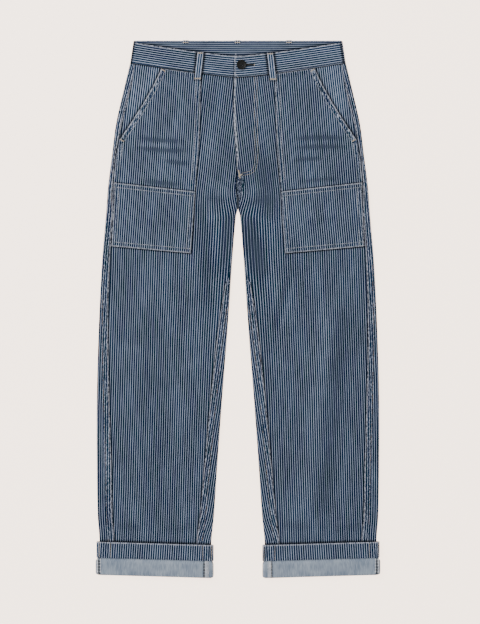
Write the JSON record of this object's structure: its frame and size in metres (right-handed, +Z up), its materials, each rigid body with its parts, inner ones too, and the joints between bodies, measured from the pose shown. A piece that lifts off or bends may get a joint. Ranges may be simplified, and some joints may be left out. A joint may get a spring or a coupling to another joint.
{
  "type": "regular fit trousers",
  "caption": "Striped denim work trousers laid flat, with patch pockets, belt loops, a buttoned waistband and turned-up hems.",
  "frame": {"origin": "centre of the trousers' footprint, on the surface they lie on", "axes": "+X to the wearer's left, +Y from the hems to the waist, +Z up off the surface"},
  "size_m": [0.541, 1.0191, 0.0138],
  "materials": {
    "striped_denim": "cotton denim twill, indigo with fine pale stripes, slightly faded",
    "denim_wrong_side": "pale grey-blue wrong side of the same denim, matt",
    "button_black": "near-black moulded button, soft sheen"
  },
  "bodies": {
    "root": {"front_left": "striped_denim", "front_right": "striped_denim", "back_left": "striped_denim", "back_right": "striped_denim", "waistband": "striped_denim", "belt_loop_front_left": "striped_denim", "belt_loop_front_right": "striped_denim", "belt_loop_back_left": "striped_denim", "belt_loop_back_centre": "striped_denim", "belt_loop_back_right": "striped_denim", "pocket_upper_left": "striped_denim", "pocket_upper_right": "striped_denim", "pocket_lower_left": "striped_denim", "pocket_lower_right": "striped_denim", "turn_up_left": "denim_wrong_side", "turn_up_right": "denim_wrong_side", "hem_band_left": "striped_denim", "hem_band_right": "striped_denim", "waist_button": "button_black"}
  },
  "joints": []
}
